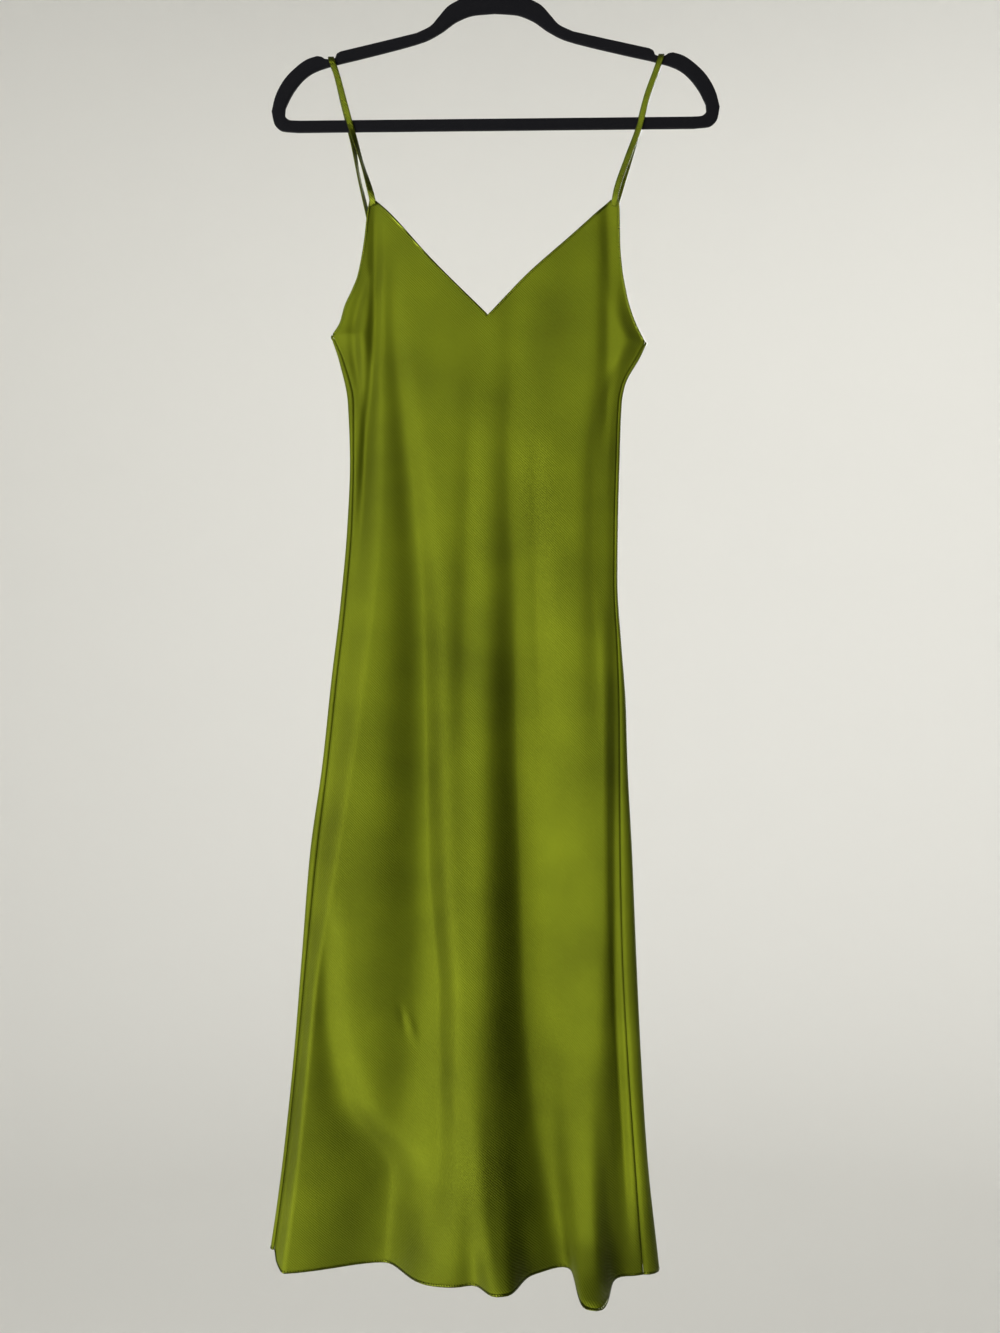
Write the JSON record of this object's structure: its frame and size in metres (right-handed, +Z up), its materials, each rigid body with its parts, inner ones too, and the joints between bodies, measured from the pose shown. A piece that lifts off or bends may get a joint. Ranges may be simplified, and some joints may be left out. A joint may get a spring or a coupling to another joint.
{
  "type": "slip dress on a hanger",
  "caption": "Bias-cut satin slip dress with a V neck and thin straps, hanging on a slim flocked hanger with a wire hook.",
  "frame": {"origin": "the seat inside the top of the hanger's hook, where a rail or peg holds it", "axes": "+X along the hanger towards its right end as seen from the front, +Y from the dress's front to its back, +Z up"},
  "size_m": [0.4494, 0.141, 1.3649],
  "materials": {
    "satin": "bias-cut satin, soft broad sheen",
    "flock": "flocked with short nylon fibre",
    "hook_steel": "bright plated wire"
  },
  "bodies": {
    "root": {"front_panel": "satin", "back_panel": "satin", "strap_left": "satin", "strap_right": "satin", "hanger_body": "flock", "hanger_hook": "hook_steel"}
  },
  "joints": []
}
